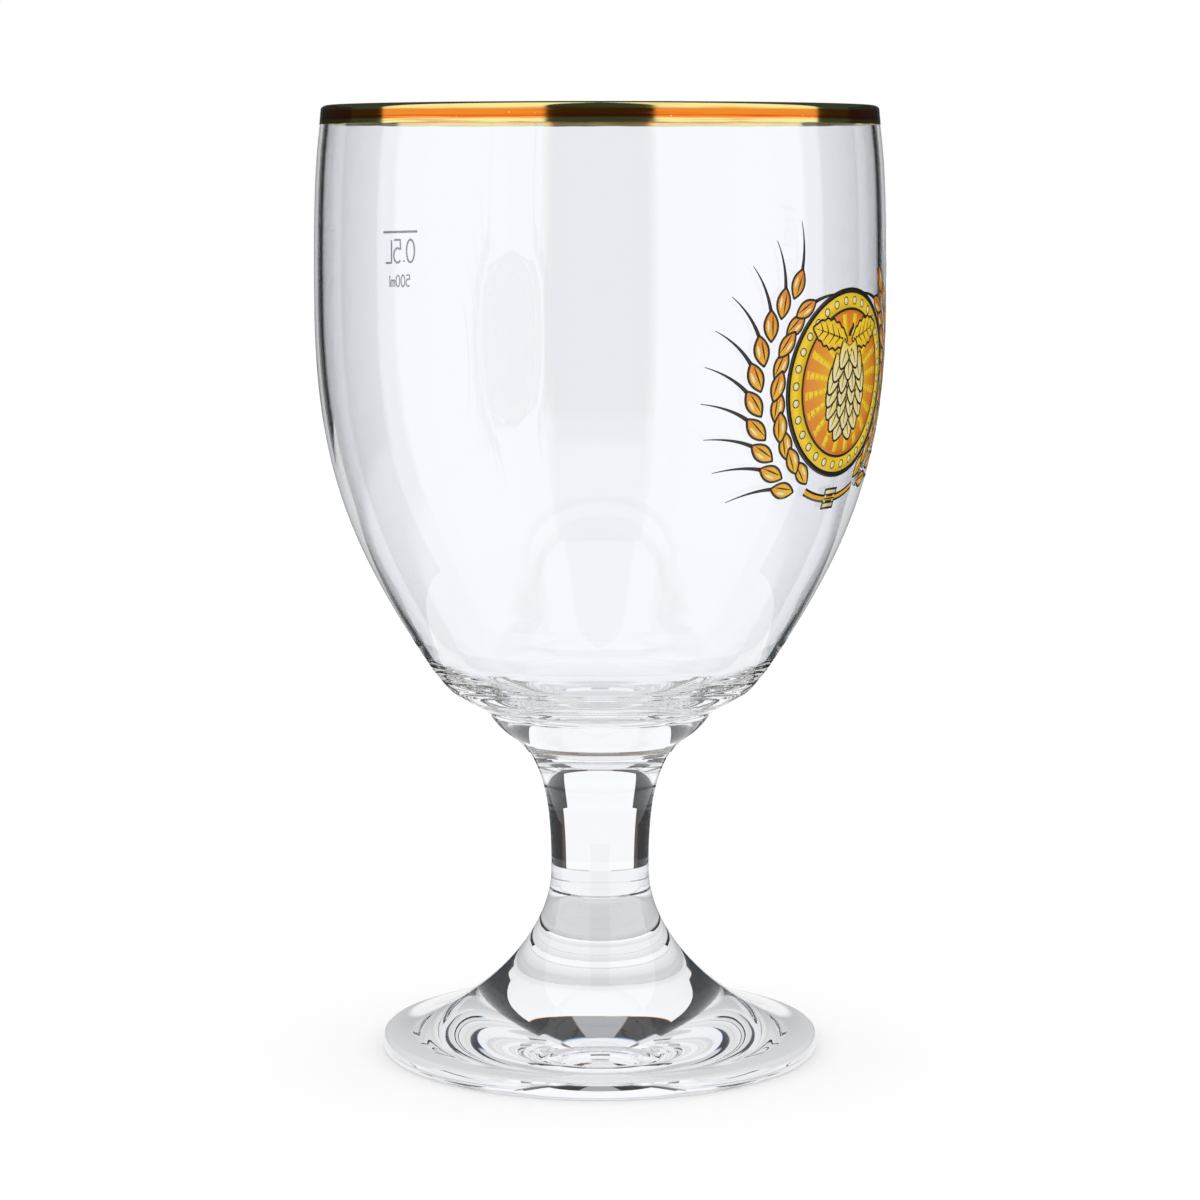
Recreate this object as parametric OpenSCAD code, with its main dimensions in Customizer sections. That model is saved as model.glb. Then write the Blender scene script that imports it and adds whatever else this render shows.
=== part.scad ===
// Chalice beer glass: a blown bowl with a thick floor, fused to a solid stem and a pressed foot,
// with a fired gold lip line, a fired enamel emblem in four inks and a fired capacity mark.
// Millimetres, +Z up. The origin is on the axis, in the plane that the foot rests on.
// The viewer of the main side stands at -Y.

/* [Heights] */
// Height of the foot with its flare, up to the seam with the stem
foot_h = 29.5; // [26:0.1:32]
// Height of the stem, from that seam to the underside of the bowl
stem_h = 26; // [20:0.1:60]
// Height of the bowl, from its underside to the top of the lip
bowl_h = 116.9; // [100:0.1:140]

/* [Bowl] */
// Outside diameter at the mouth
mouth_d = 100; // [90:0.1:112]
// Outside diameter at the widest place
belly_d = 103.2; // [94:0.1:116]
// Height of the widest place above the underside
belly_h = 82.5; // [70:0.1:92]
// Outside diameter at the heel, where the side turns in
heel_d = 70.8; // [60:0.1:80]
// Height of the heel above the underside
heel_h = 22.5; // [19:0.1:28]
// Lean of the side at the heel, in degrees from level
heel_angle = 58.7; // [50:0.1:66]
// Diameter of the underside, where the stem is fused on
base_d = 27; // [24:0.1:30]
// Lean of the outside where it meets the underside, in degrees from level
base_angle = 55; // [40:0.5:62]
// Diameter at the crease over the round rib that ends the underside
rib_d = 42.2; // [38:0.1:46]
// Height of that crease above the underside
rib_h = 7.8; // [6:0.1:10]
// Lean of the side just over the crease, in degrees from level
rib_top_angle = 27; // [18:0.5:34]
// Lean of the rib just under the crease, in degrees from level
rib_side_angle = 54.4; // [44:0.1:62]
// Length over which the crease is rounded, each way
rib_soft = 1.3; // [0.5:0.1:2.5]
// Thickness of the wall at the lip
lip_wall = 1.5; // [1.2:0.05:2.4]
// Thickness of the wall at the widest place
belly_wall = 1.55; // [1.3:0.05:2.6]
// Thickness of the wall at the heel
heel_wall = 1.2; // [1:0.05:3]
// Thickness of the floor on the axis
floor_t = 9.1; // [6:0.1:13]

/* [Stem] */
// Step in from the rim of the bowl's underside to the stem
stem_step = 0.3; // [0.1:0.05:1]
// Diameter of the waist
waist_d = 18; // [14:0.1:21]
// Height of the waist above the seam with the foot
waist_h = 3.7; // [2:0.1:6]

/* [Foot] */
// Outside diameter of the foot
foot_d = 80.5; // [68:0.1:96]
// Thickness of the rounded edge
edge_t = 3.2; // [2.4:0.1:4.5]
// Depth of the rounding at the edge
edge_nose = 0.9; // [0.4:0.05:1.5]
// Slope of the top beside the edge, in degrees from level
foot_slope = 3.3; // [1:0.1:12]
// Width of the flat ring that the glass rests on
rest_w = 5.5; // [3:0.1:9]
// Height of the hollow under the foot, on the axis
hollow_h = 2.4; // [1:0.1:3.5]

/* [Gold lip line] */
// Height of the gold on the outside
gold_h = 3.4; // [2:0.1:8]
// Height of the gold on the inside
gold_inside_h = 0.9; // [0.85:0.05:2]

/* [Fired inks] */
// Thickness of the gold and of each ink
film_t = 0.1; // [0.05:0.01:0.2]

/* [Emblem] */
// Direction of the emblem's middle, in degrees from the main side towards the right
emblem_azimuth = 57; // [0:1:360]
// Height of the emblem's middle above the underside of the bowl
emblem_z = 71.5; // [60:0.5:78]
// Outside diameter of the round medallion
medal_d = 33; // [26:0.5:35]
// Drop of the medallion's middle below the emblem's middle
medal_drop = 2.5; // [0:0.1:4]
// Width of the dark ring round the medallion
ring_w = 0.95; // [0.5:0.05:1.2]
// Width of the beaded band inside that ring
band_w = 2.5; // [1.8:0.1:3]
// Width of the dark ring inside the band
inner_ring_w = 0.45; // [0.3:0.05:0.8]
// Diameter of a bead
bead_d = 1.3; // [0.8:0.1:1.5]
// Number of beads
beads = 30; // [12:1:34]
// Height of the hop cone
hop_h = 18.5; // [12:0.1:19.5]
// Width of the hop cone
hop_w = 12.6; // [8:0.1:14]
// Rows of scales on the hop cone
hop_rows = 5; // [3:1:6]
// Width of the dark lines on the hop cone
line_w = 0.35; // [0.25:0.05:0.5]
// Gap from the medallion to the grains of each barley ear
ear_gap = 1.2; // [0.6:0.1:2]
// Length of a grain
grain_l = 5.4; // [4:0.1:6]
// Width of a grain
grain_w = 2.7; // [1.6:0.1:3]
// Grains along each side of an ear
grains = 10; // [5:1:11]
// Length of an awn
awn_l = 8; // [4:0.1:9]
// Width of an awn where it leaves its grain
awn_w = 0.5; // [0.3:0.05:0.7]
// Width of the tie round the straws
tie_w = 3.4; // [2:0.1:5]
// Height of the tie
tie_h = 3; // [2:0.1:4]

/* [Capacity mark] */
// Direction of the mark, in degrees from the main side towards the right
mark_azimuth = 229.5; // [0:0.5:360]
// Height of the fill line above the underside of the bowl
mark_z = 93.8; // [85:0.1:98]
// Length of the fill line
mark_l = 9.8; // [6:0.1:14]
// Width of the fill line
mark_w = 0.45; // [0.3:0.05:0.8]

/* [Hidden] */

// Heights and radii that several pieces share
joint_z = foot_h + stem_h;
glass_h = joint_z + bowl_h;
mouth_r = mouth_d / 2;
belly_r = belly_d / 2;
belly_z = joint_z + belly_h;
heel_z = joint_z + heel_h;
waist_r = waist_d / 2;
waist_z = foot_h + waist_h;
foot_r = foot_d / 2;
rest_r = foot_r - edge_nose - rest_w;
lip_r = lip_wall / 2;
lip_z = glass_h - lip_r;

// Lengths of the curves' handles, as shares of the height or width that each curve spans
mouth_pull_share = 0.175;
mouth_lean_share = 0.31;
belly_up_share = 0.75;
belly_down_share = 0.445;
// Less of that for the inside, so that the wall is a little thicker between the belly and the heel
wall_share = 0.048;
heel_up_share = 0.375;
heel_down_share = 0.98;
crease_up_share = 0.387;
crease_pull_share = 0.66;
rib_down_share = 0.766;
base_pull_share = 0.487;
inner_heel_share = 0.8;
floor_pull_share = 0.76;
stem_top_share = 0.235;
stem_lean_share = 0.6;
stem_waist_share = 0.525;
flare_waist_share = 0.487;
flare_edge_share = 0.407;

// Pieces in each curve
steps = 14;
// Faces of a drawn circle
round_faces = 72;
// Overrun of a cut past the face that it opens
over = 1;

// A point on the cubic curve with ends a and d and handles b and c
function curve_point(a, b, c, d, t) =
    a * pow(1 - t, 3) + 3 * b * pow(1 - t, 2) * t + 3 * c * (1 - t) * pow(t, 2) + d * pow(t, 3);
// Points along that curve, without its first
function curve(a, b, c, d) = [for (i = [1:steps]) curve_point(a, b, c, d, i / steps)];
function lean(angle) = [cos(angle), sin(angle)];
function reversed(points) = [for (i = [len(points) - 1:-1:0]) points[i]];

// The side from the lip to the widest place. wall is how far it lies inside the outer face.
function mouth_side(wall_top, wall_belly) =
    let (top = [mouth_r - wall_top, lip_z],
        side = [belly_r - wall_belly, belly_z],
        rise = lip_z - belly_z,
        bulge = side[0] - top[0])
    concat([top], curve(top,
        top + [bulge * mouth_lean_share, -rise * mouth_pull_share],
        side + [0, rise * belly_up_share],
        side));

// The side from the widest place down to the heel
function belly_side(wall_belly, wall_heel) =
    let (side = [belly_r - wall_belly, belly_z],
        heel = [heel_d / 2, heel_z] + wall_heel * lean(heel_angle + 90),
        drop = belly_z - heel_z)
    curve(side,
        side - [0, drop * (belly_down_share - wall_share * wall_heel / heel_wall)],
        heel + drop * heel_up_share * lean(heel_angle),
        heel);

// The outside from the heel, over a soft crease and down a round rib, to the underside
heel = [heel_d / 2, heel_z];
crease = [rib_d / 2, joint_z + rib_h];
base = [base_d / 2, joint_z];
over_crease = crease + rib_soft * lean(rib_top_angle);
under_crease = crease - rib_soft * lean(rib_side_angle);
heel_drop = heel[1] - crease[1];
heel_side = concat(
    curve(heel,
        heel - heel_drop * heel_down_share * lean(heel_angle),
        over_crease + heel_drop * crease_up_share * lean(rib_top_angle),
        over_crease),
    curve(over_crease,
        over_crease + crease_pull_share * (crease - over_crease),
        under_crease + crease_pull_share * (crease - under_crease),
        under_crease),
    curve(under_crease,
        under_crease - rib_h * rib_down_share * lean(rib_side_angle),
        base + rib_h * base_pull_share * lean(base_angle),
        base));

// The inside from the heel to the middle of the floor
inner_heel = heel + heel_wall * lean(heel_angle + 90);
inner_floor = [0, joint_z + floor_t];
floor_side = curve(inner_heel,
    inner_heel - (inner_heel[1] - inner_floor[1]) * inner_heel_share * lean(heel_angle),
    inner_floor + [inner_heel[0] * floor_pull_share, 0],
    inner_floor);

outer_side = concat(mouth_side(0, 0), belly_side(0, 0));
inner_side = concat(mouth_side(lip_wall, belly_wall), belly_side(belly_wall, heel_wall));

// The round top of the lip, from inside to outside, grown by extra
function lip_arc(extra) = [for (i = [1:steps - 1]) let (a = 180 - 180 * i / steps)
    [mouth_r - lip_r, lip_z] + (lip_r + extra) * lean(a)];

// The outline of the stem and foot in one, from the bowl's underside to the resting ring
stem_top = [base_d / 2 - stem_step, joint_z];
waist = [waist_r, waist_z];
edge = [foot_r - edge_nose, edge_t];
stem_drop = joint_z - waist_z;
stem_side = concat([stem_top], curve(stem_top,
    stem_top - stem_drop * stem_top_share * [stem_lean_share, 1],
    waist + [0, stem_drop * stem_waist_share],
    waist));
flare_side = curve(waist,
    waist - [0, (waist_z - edge_t) * flare_waist_share],
    edge + (edge[0] - waist_r) * flare_edge_share * lean(180 - foot_slope),
    edge);
edge_arc = [for (i = [1:steps]) let (a = 90 - 180 * i / steps)
    [edge[0] + edge_nose * cos(a), edge_t / 2 * (1 + sin(a))]];
hollow_side = [for (i = [0:steps]) let (r = rest_r * (1 - i / steps))
    [r, hollow_h * (1 - pow(r / rest_r, 2))]];

glass_colour = [0.88, 0.92, 0.94, 0.45];
gold_colour = "goldenrod";
amber_colour = "orange";
yellow_colour = "gold";
cream_colour = "wheat";
ink_colour = [0.16, 0.13, 0.11];
mark_colour = "silver";

module stem_and_foot_outline() {
    polygon(concat(stem_side, flare_side, edge_arc, hollow_side, [[0, joint_z]]));
}

// The part of the outline between two heights
module slice_between(low, high) {
    intersection() {
        children();
        translate([0, low]) square([foot_d, high - low]);
    }
}

module bowl() {
    color(glass_colour) rotate_extrude($fn = round_faces)
        polygon(concat(reversed(concat(outer_side, heel_side)), reversed(lip_arc(0)),
            inner_side, floor_side, [[0, joint_z]]));
}

module stem() {
    color(glass_colour) rotate_extrude($fn = round_faces)
        slice_between(foot_h, joint_z) stem_and_foot_outline();
}

module foot() {
    color(glass_colour) rotate_extrude($fn = round_faces)
        slice_between(0, foot_h) stem_and_foot_outline();
}

// A skin of the film's thickness on the outside of the bowl
module outer_skin() {
    rotate_extrude($fn = round_faces)
        polygon(concat(outer_side, reversed([for (p = outer_side) p + [film_t, 0]])));
}

// The region beside the middle of the wall, out to a radius, from a height up past the lip
module beside_wall(far_r, low) {
    intersection() {
        polygon(concat([[mouth_r - lip_r, glass_h + over]], mouth_side(lip_wall / 2, belly_wall / 2),
            [[far_r, belly_z], [far_r, glass_h + over]]));
        translate([0, low]) square([belly_d, glass_h + over - low]);
    }
}

// The gold lies on the outside, over the lip and a little way down the inside.
module gold_rim() {
    color(gold_colour) rotate_extrude($fn = round_faces) intersection() {
        difference() {
            polygon(concat([for (p = reversed(mouth_side(0, 0))) p + [film_t, 0]],
                reversed(lip_arc(film_t)),
                [for (p = mouth_side(lip_wall, belly_wall)) p - [film_t, 0]]));
            polygon(concat(reversed(mouth_side(0, 0)), reversed(lip_arc(0)),
                mouth_side(lip_wall, belly_wall)));
        }
        union() {
            beside_wall(belly_d, glass_h - gold_h);
            beside_wall(0, glass_h - gold_inside_h);
        }
    }
}

// Prints a flat drawing on the bowl, facing the azimuth, with its middle at height z.
module printed(azimuth, z) {
    intersection() {
        outer_skin();
        translate([0, 0, z]) rotate([90, 0, azimuth]) linear_extrude(belly_d) children();
    }
}

module on_bowl() {
    printed(emblem_azimuth, joint_z + emblem_z) children();
}

module at_medal() {
    translate([0, -medal_drop]) children();
}

module ring(r, w) {
    difference() {
        circle(r, $fn = round_faces);
        circle(r - w, $fn = round_faces);
    }
}

band_r = medal_d / 2 - ring_w;
inner_ring_r = band_r - band_w;
field_r = inner_ring_r - inner_ring_w;

// A pointed oval along X, as a grain or a leaf
oval_points = 12;
module oval(l, w) {
    polygon([for (i = [0:oval_points - 1]) let (a = 360 * i / oval_points)
        [l / 2 * cos(a), w / 2 * sin(a) * abs(sin(a))]]);
}

// The hop cone's outline: widest above its middle, pointed below, with a stepped side for each row
function hop_half(share) = hop_w / 2 * pow(sin(180 * pow(share, 1.3)), 0.7);
function hop_y(share) = hop_h * (share - 0.5);
row_shares = [for (i = [1:hop_rows]) i / (hop_rows + 1)];

module hop_cone() {
    side = [for (i = [0:steps]) let (s = i / steps) [hop_half(s), hop_y(s)]];
    polygon(concat(side, [for (p = reversed(side)) [-p[0], p[1]]]));
}

// A dark line of three scallops across the cone for each row of scales
scallop_sag_share = 0.11;
module hop_lines() {
    for (s = row_shares) {
        half = hop_half(s);
        sag = hop_h * scallop_sag_share;
        line = [for (i = [0:steps]) let (x = half * (2 * i / steps - 1))
            [x, hop_y(s) - sag * abs(sin(270 * (x / half + 1)))]];
        polygon(concat(line, [for (p = reversed(line)) p + [0, line_w]]));
    }
}

// Two leaves over the cone
leaf_l_share = 0.52;
leaf_w_share = 0.2;
leaf_angle = 28;
module leaves() {
    for (side = [0, 1]) mirror([side, 0])
        translate([hop_w * leaf_l_share / 2, hop_h / 2])
            rotate(leaf_angle) oval(hop_h * leaf_l_share, hop_h * leaf_w_share);
}

// Places along an ear: the angle of each pair of grains, from the tie to the tip
ear_start_angle = -70;
ear_end_angle = 44;
grain_lean_angle = 22;
awn_lean_angle = 36;
row_share = 0.46;
ear_r = medal_d / 2 + ear_gap + grain_w * (row_share + 0.5);
function ear_angle(i) = ear_start_angle + (ear_end_angle - ear_start_angle) * i / grains;
function ear_offset(side) = side * grain_w * row_share;

module on_ear(i, side) {
    rotate(ear_angle(i)) translate([ear_r + ear_offset(side), 0])
        rotate(90 - side * grain_lean_angle) children();
}

module both_ears() {
    at_medal() for (flip = [0, 1]) mirror([flip, 0]) children();
}

// The grains of one ear, in two rows with one at the tip
module ear_grains() {
    for (i = [1:grains]) {
        on_ear(i, 1) translate([grain_l / 2, 0]) oval(grain_l, grain_w);
        on_ear(i - 0.5, -1) translate([grain_l / 2, 0]) oval(grain_l, grain_w);
    }
}

// The awns leave the outer grains
module ear_awns() {
    for (i = [1:grains]) rotate(ear_angle(i)) translate([ear_r + ear_offset(1), 0])
        rotate(90 - awn_lean_angle) translate([grain_l, 0])
            polygon([[0, -awn_w / 2], [awn_l, 0], [0, awn_w / 2]]);
}

// The straw of one ear, from past the tie to its first grains
straw_start_angle = -100;
module ear_straw() {
    arc = [for (i = [0:steps]) straw_start_angle + (ear_start_angle - straw_start_angle) * i / steps];
    polygon(concat([for (a = arc) (ear_r - awn_w) * lean(a)],
        [for (a = reversed(arc)) (ear_r + awn_w) * lean(a)]));
}

// The tie round the crossing straws
module tie() {
    at_medal() translate([0, -ear_r]) square([tie_w, tie_h], center = true);
}

module bead_dots() {
    for (i = [0:beads - 1]) rotate(360 * i / beads)
        translate([band_r - band_w / 2, 0]) circle(bead_d / 2, $fn = oval_points);
}

module emblem_amber() {
    color(amber_colour) on_bowl() {
        at_medal() difference() {
            circle(field_r, $fn = round_faces);
            hop_cone();
            leaves();
        }
        difference() {
            both_ears() ear_grains();
            tie();
        }
    }
}

module emblem_yellow() {
    color(yellow_colour) on_bowl() at_medal() {
        difference() {
            ring(band_r, band_w);
            bead_dots();
        }
        difference() {
            intersection() {
                leaves();
                circle(field_r, $fn = round_faces);
            }
            hop_cone();
        }
    }
}

module emblem_cream() {
    color(cream_colour) on_bowl() {
        at_medal() {
            bead_dots();
            difference() {
                hop_cone();
                hop_lines();
            }
        }
        tie();
    }
}

module emblem_outline() {
    color(ink_colour) on_bowl() {
        at_medal() {
            ring(medal_d / 2, ring_w);
            ring(inner_ring_r, inner_ring_w);
            intersection() {
                hop_cone();
                hop_lines();
            }
        }
        difference() {
            both_ears() {
                ear_awns();
                ear_straw();
            }
            both_ears() ear_grains();
            tie();
        }
    }
}

module fill_line() {
    color(mark_colour) printed(mark_azimuth, joint_z + mark_z)
        square([mark_l, mark_w], center = true);
}

bowl();
stem();
foot();
gold_rim();
emblem_amber();
emblem_yellow();
emblem_cream();
emblem_outline();
fill_line();
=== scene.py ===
"""A chalice beer glass: blown bowl, fused stem and foot, gold lip line, four-ink emblem, capacity mark.

Lengths are in metres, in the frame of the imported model: +Z up, the origin on the axis under the foot.
The viewer of the main side stands at -Y. Directions round the glass are in degrees from -Y towards +X.
"""

import math
from types import SimpleNamespace

import bmesh
import bpy
import numpy as np
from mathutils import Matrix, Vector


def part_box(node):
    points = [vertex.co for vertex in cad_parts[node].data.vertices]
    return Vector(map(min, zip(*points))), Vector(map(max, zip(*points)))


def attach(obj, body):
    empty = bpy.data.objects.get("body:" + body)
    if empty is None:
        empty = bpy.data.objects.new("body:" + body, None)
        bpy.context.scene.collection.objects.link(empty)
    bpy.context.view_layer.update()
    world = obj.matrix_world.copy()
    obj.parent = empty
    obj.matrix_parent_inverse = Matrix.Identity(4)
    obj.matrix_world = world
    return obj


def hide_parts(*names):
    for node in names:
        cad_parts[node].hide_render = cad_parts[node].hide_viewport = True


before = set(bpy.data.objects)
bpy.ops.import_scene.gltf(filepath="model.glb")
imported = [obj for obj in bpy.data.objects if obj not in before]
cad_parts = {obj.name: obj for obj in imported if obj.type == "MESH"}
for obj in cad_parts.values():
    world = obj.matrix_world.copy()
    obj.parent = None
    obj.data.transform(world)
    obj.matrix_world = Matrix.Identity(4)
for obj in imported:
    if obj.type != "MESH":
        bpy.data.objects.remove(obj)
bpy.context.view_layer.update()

bl_info = {
    "name": "Chalice Beer Glass",
    "version": (1, 0, 0),
    "blender": (4, 5, 0),
    "location": "View3D > Sidebar > Chalice",
    "description": "Builds a stemmed half-litre beer glass with a gold lip line and a fired emblem",
    "category": "Add Mesh",
}

MM = 0.001
FOOT_BOX, STEM_BOX, BOWL_BOX = (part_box(name) for name in ("foot", "stem", "bowl"))
AROUND = 256  # points round a turned piece
STEPS = 40  # points along each curve of a profile
INK_T = 0.012 * MM  # thickness of one pass of ink
PASS = 0.0015 * MM  # rise from one patch to the next over it


def size(label, millimetres, description):
    """A length that a user would change."""
    return bpy.props.FloatProperty(
        name=label, description=description, default=millimetres * MM, min=0.0, unit="LENGTH", subtype="DISTANCE")


def turn(label, degrees, description):
    """An angle that a user would change."""
    return bpy.props.FloatProperty(
        name=label, description=description, default=math.radians(degrees), unit="ROTATION", subtype="ANGLE")


def linear(hex_colour):
    """The linear light of an sRGB hex colour, by the sRGB curve on each channel."""
    srgb = np.array([int(hex_colour[i:i + 2], 16) for i in (1, 3, 5)]) / 255
    return tuple(float(c) for c in np.where(srgb <= 0.04045, srgb / 12.92, ((srgb + 0.055) / 1.055) ** 2.4))


def colour(label, hex_colour, description):
    """A colour that a user would change."""
    return bpy.props.FloatVectorProperty(
        name=label, description=description, default=linear(hex_colour), size=3, min=0.0, max=1.0, subtype="COLOR")


class BowlSizes(bpy.types.PropertyGroup):
    """Sizes of the blown bowl."""
    belly_h: size("Widest place", 82.5, "Height of the widest place above the underside of the bowl")
    mouth_d: size("Mouth", 100, "Outside diameter at the mouth")
    heel_d: size("Heel", 70.8, "Outside diameter at the heel, where the side turns in")
    heel_h: size("Heel height", 22.5, "Height of the heel above the underside")
    heel_angle: turn("Heel lean", 58.7, "Lean of the side at the heel, from level")
    base_d: size("Underside", 27, "Diameter of the underside, where the stem is fused on")
    base_angle: turn("Underside lean", 55, "Lean of the outside where it meets the underside, from level")
    rib_d: size("Rib", 42.2, "Diameter at the crease over the round rib that ends the underside")
    rib_h: size("Rib height", 7.8, "Height of that crease above the underside")
    rib_top_angle: turn("Lean over the rib", 27, "Lean of the side just over the crease, from level")
    rib_side_angle: turn("Lean of the rib", 54.4, "Lean of the rib just under the crease, from level")
    rib_soft: size("Crease softness", 1.3, "Length over which the crease is rounded, each way")
    lip_wall: size("Lip wall", 1.5, "Thickness of the wall at the lip")
    belly_wall: size("Side wall", 1.55, "Thickness of the wall at the widest place")
    heel_wall: size("Heel wall", 1.2, "Thickness of the wall at the heel")
    floor_t: size("Floor", 9.1, "Thickness of the floor on the axis")
    wave_h: size("Mould waves", 0.05, "Height of the ring waves that the mould left between the heel and the crease")
    wave_l: size("Mould wave length", 4.9, "Length of those waves")


class StandSizes(bpy.types.PropertyGroup):
    """Sizes of the stem and the foot."""
    stem_step: size("Stem step", 0.3, "Step in from the rim of the bowl's underside to the stem")
    waist_d: size("Waist", 18, "Diameter of the waist")
    waist_h: size("Waist height", 3.7, "Height of the waist above the seam with the foot")
    edge_t: size("Edge", 3.2, "Thickness of the foot's rounded edge")
    edge_nose: size("Edge rounding", 0.9, "Depth of the rounding at the foot's edge")
    foot_slope: turn("Foot slope", 3.3, "Slope of the foot's top beside its edge, from level")
    rest_w: size("Resting ring", 5.5, "Width of the flat ring that the glass rests on")
    hollow_h: size("Hollow", 2.4, "Height of the hollow under the foot, on the axis")


class PrintSizes(bpy.types.PropertyGroup):
    """Sizes and places of the gold line, the emblem and the capacity mark."""
    film_t: size("Film", 0.1, "Thickness that the gold and the inks may take up")
    gold_h: size("Gold outside", 3.4, "Height of the gold on the outside")
    gold_inside_h: size("Gold inside", 0.9, "Height of the gold on the inside")
    emblem_azimuth: turn("Emblem direction", 57, "Direction of the emblem's middle, from the main side to the right")
    emblem_z: size("Emblem height", 71.5, "Height of the emblem's middle above the underside of the bowl")
    medal_d: size("Medallion", 33, "Outside diameter of the round medallion")
    medal_drop: size("Medallion drop", 2.5, "Drop of the medallion's middle below the emblem's middle")
    ring_w: size("Dark ring", 0.95, "Width of the dark ring round the medallion")
    band_w: size("Beaded band", 2.5, "Width of the beaded band")
    inner_ring_w: size("Inner ring", 0.45, "Width of the dark ring inside the band")
    bead_d: size("Bead", 1.3, "Diameter of a bead")
    hop_h: size("Hop height", 18.5, "Height of the hop cone")
    hop_w: size("Hop width", 12.6, "Width of the hop cone")
    line_w: size("Line", 0.4, "Width of the thin dark lines")
    ear_gap: size("Ear gap", 1.2, "Gap from the medallion to the grains of each barley ear")
    grain_l: size("Grain length", 5.4, "Length of a grain")
    grain_w: size("Grain width", 2.7, "Width of a grain")
    awn_l: size("Awn length", 8, "Length of an awn")
    awn_w: size("Awn width", 0.75, "Width of an awn where it leaves its grain")
    tie_w: size("Tie width", 3.4, "Width of the tie round the straws")
    tie_h: size("Tie height", 3, "Height of the tie")
    mark_azimuth: turn("Mark direction", 229.5, "Direction of the capacity mark, from the main side to the right")
    mark_z: size("Fill line height", 93.8, "Height of the fill line above the underside of the bowl")
    mark_l: size("Fill line length", 9.8, "Length of the fill line")
    mark_w: size("Fill line width", 0.45, "Width of the fill line")
    figure_h: size("Figure height", 4.3, "Height of the capacity figures")


class GlassLook(bpy.types.PropertyGroup):
    """Colours of the glass, the gold, the inks and the floor."""
    glass: colour("Glass", "#FBFCFF", "Clear soda-lime glass")
    # Gold colours by height: the pale one is painted highlight over the lip and along the lower edge of the line.
    gold: colour("Gold", "#F08C2C", "Fired gold lustre in the middle of the line, where it is thick")
    gold_deep: colour("Deep gold", "#EC5A1E", "The reddest gold, low on the line")
    gold_painted_highlight: colour("Pale gold", "#FAEC9C", "The thin gold over the lip and at the lower edge")
    amber_light: colour("Light amber", "#F6C51E", "Amber enamel where the dots are smallest")
    amber_deep: colour("Deep amber", "#E0800F", "Amber enamel where the dots close up")
    yellow: colour("Yellow", "#F5D01C", "Yellow enamel")
    cream: colour("Cream", "#F0E6B4", "Cream enamel")
    ink: colour("Outline", "#2B221C", "Brown-black outline enamel")
    mark: colour("Mark", "#C8CAD6", "Pale grey enamel of the capacity mark")
    floor: colour("Floor", "#F2F2F2", "Plain pale floor")


def lean(angle):
    """The unit direction at an angle, in radians from level."""
    return np.array([math.cos(angle), math.sin(angle)])


def bezier(a, b, c, d, steps=STEPS):
    """Points along the cubic curve with ends a and d and handles b and c: a weighted mean of the four."""
    t = np.linspace(0.0, 1.0, steps + 1)[:, None]
    return a * (1 - t) ** 3 + 3 * b * (1 - t) ** 2 * t + 3 * c * (1 - t) * t ** 2 + d * t ** 3


def glass_sizes(scene):
    """All sizes of the glass in one place, with the heights and radii worked out from them."""
    s = SimpleNamespace()
    for group in (scene.chalice_bowl, scene.chalice_stand, scene.chalice_print):
        for name in group.__annotations__:
            setattr(s, name, getattr(group, name))
    s.foot_h, s.joint_z, s.glass_h = FOOT_BOX[1].z, STEM_BOX[1].z, BOWL_BOX[1].z
    s.mouth_r, s.belly_r, s.foot_r = s.mouth_d / 2, BOWL_BOX[1].y, FOOT_BOX[1].x
    s.belly_z, s.heel_z = s.joint_z + s.belly_h, s.joint_z + s.heel_h
    s.waist_r, s.waist_z = s.waist_d / 2, s.foot_h + s.waist_h
    s.rest_r = s.foot_r - s.edge_nose - s.rest_w
    s.lip_r = s.lip_wall / 2
    s.lip_z = s.glass_h - s.lip_r
    s.joint_r = s.base_d / 2 - s.stem_step
    s.heel = np.array([s.heel_d / 2, s.heel_z])
    s.base = np.array([s.base_d / 2, s.joint_z])
    s.crease = np.array([s.rib_d / 2, s.joint_z + s.rib_h])
    s.waist = np.array([s.waist_r, s.waist_z])
    s.edge = np.array([s.foot_r - s.edge_nose, s.edge_t])
    return s


def upper_side(s, top_inset, belly_inset, heel_inset):
    """The side from the lip's middle height down to the heel, inset by a wall: two curves that meet at the belly.
    The lower handle of the inside is shorter, so that the wall is a little thicker between the belly and the heel."""
    top = np.array([s.mouth_r - top_inset, s.lip_z])
    side = np.array([s.belly_r - belly_inset, s.belly_z])
    heel = s.heel + heel_inset * lean(s.heel_angle + math.pi / 2)
    rise, bulge, drop = s.lip_z - s.belly_z, side[0] - top[0], s.belly_z - s.heel_z
    mouth = bezier(top, top + [bulge * 0.31, -rise * 0.175], side + [0, rise * 0.75], side)
    pull = drop * (0.445 - 0.048 * heel_inset / s.heel_wall)
    belly = bezier(side, side - [0, pull], heel + drop * 0.375 * lean(s.heel_angle), heel)
    return np.vstack([mouth, belly[1:]])


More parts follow.
